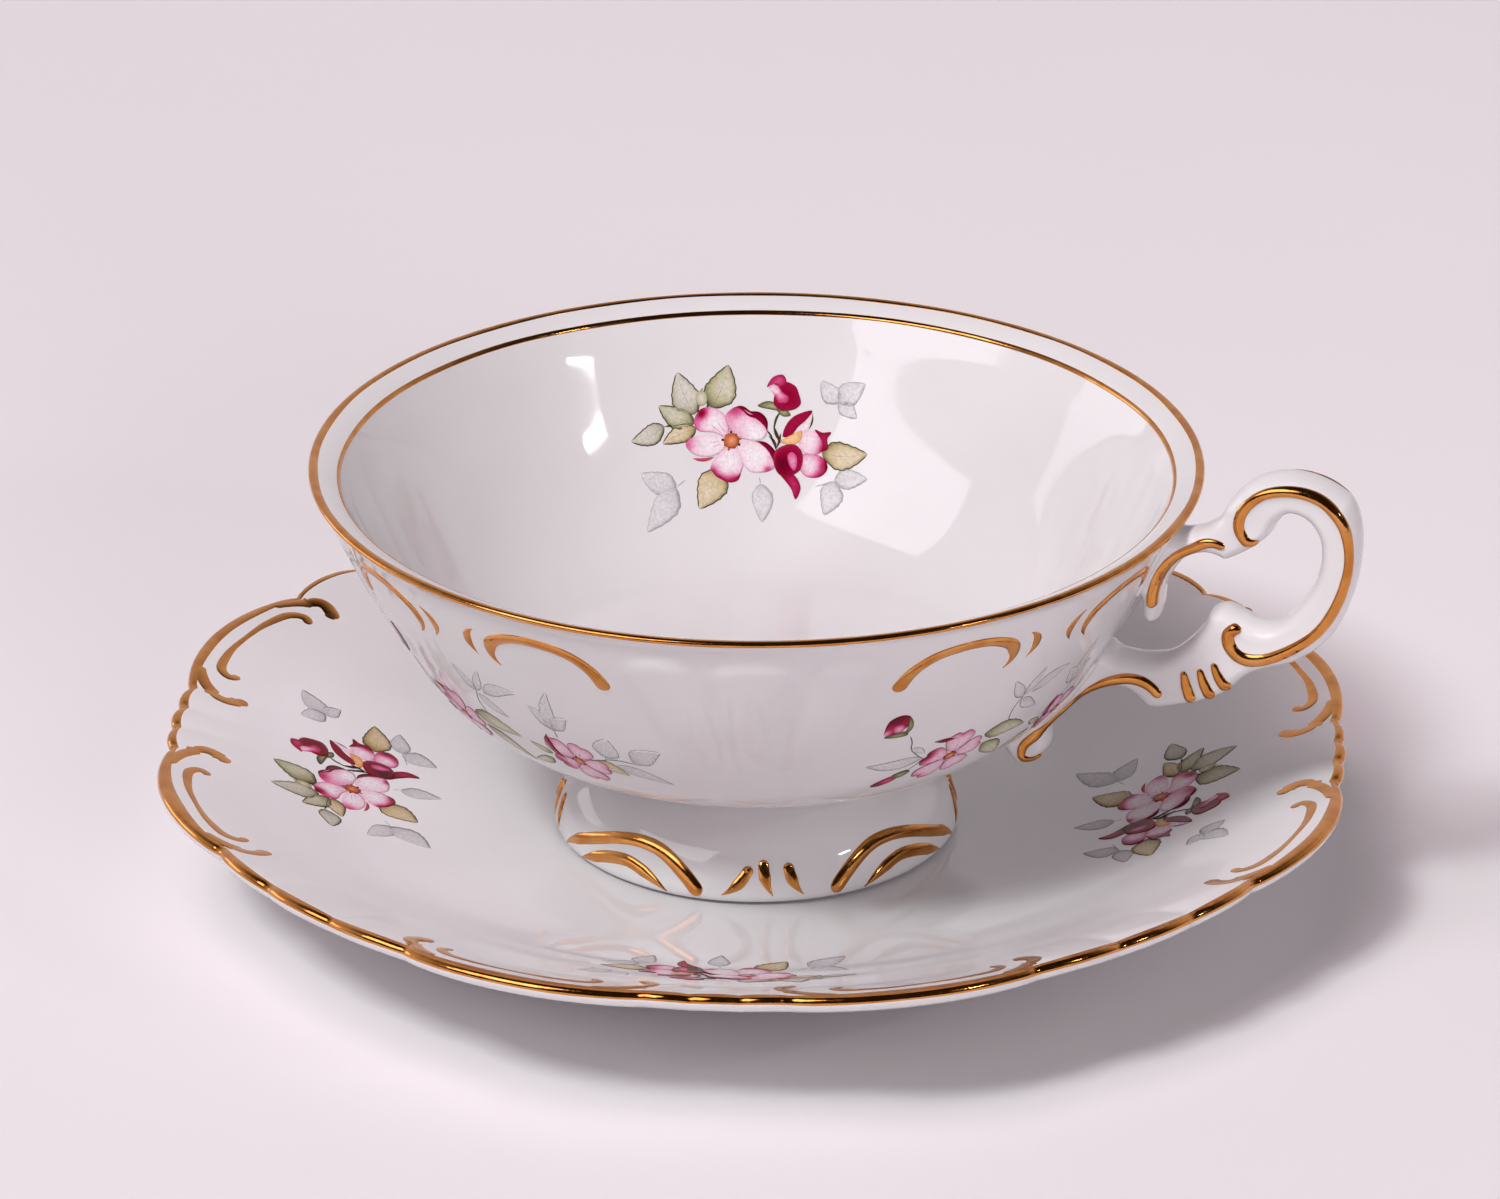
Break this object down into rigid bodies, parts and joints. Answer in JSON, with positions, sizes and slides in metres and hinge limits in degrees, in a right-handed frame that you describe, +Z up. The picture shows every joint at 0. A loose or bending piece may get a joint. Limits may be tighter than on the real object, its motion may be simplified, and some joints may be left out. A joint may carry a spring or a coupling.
{
  "type": "teacup",
  "caption": "Footed porcelain teacup with a scroll handle, standing on its scalloped saucer, with gilt edges and flower sprays.",
  "frame": {"origin": "on the cup's vertical axis, at the flat face of the saucer's foot ring, where the set stands", "axes": "+Z up, +X from the cup's axis towards the handle, +Y to complete a right-handed frame"},
  "size_m": [0.1512, 0.15, 0.062],
  "materials": {
    "porcelain": "clear gloss glaze over white porcelain, with printed flower sprays",
    "clay_joint": "fired joining slip under the same glaze",
    "gold": "burnished gold line, slightly worn at the lip"
  },
  "bodies": {
    "saucer": {"saucer_body": "porcelain", "saucer_rim_gilding": "gold"},
    "cup": {"cup_bowl": "porcelain", "cup_foot": "porcelain", "foot_joint": "clay_joint", "cup_lip_gilding": "gold", "cup_inner_gold_line": "gold", "cup_handle": "porcelain", "handle_upper_joint": "clay_joint", "handle_lower_joint": "clay_joint"}
  },
  "joints": [
    {"name": "cup_lift", "type": "slide", "parent": "saucer", "child": "cup", "axis": [0, 0, 1], "range_m": [0, 0.08]}
  ]
}
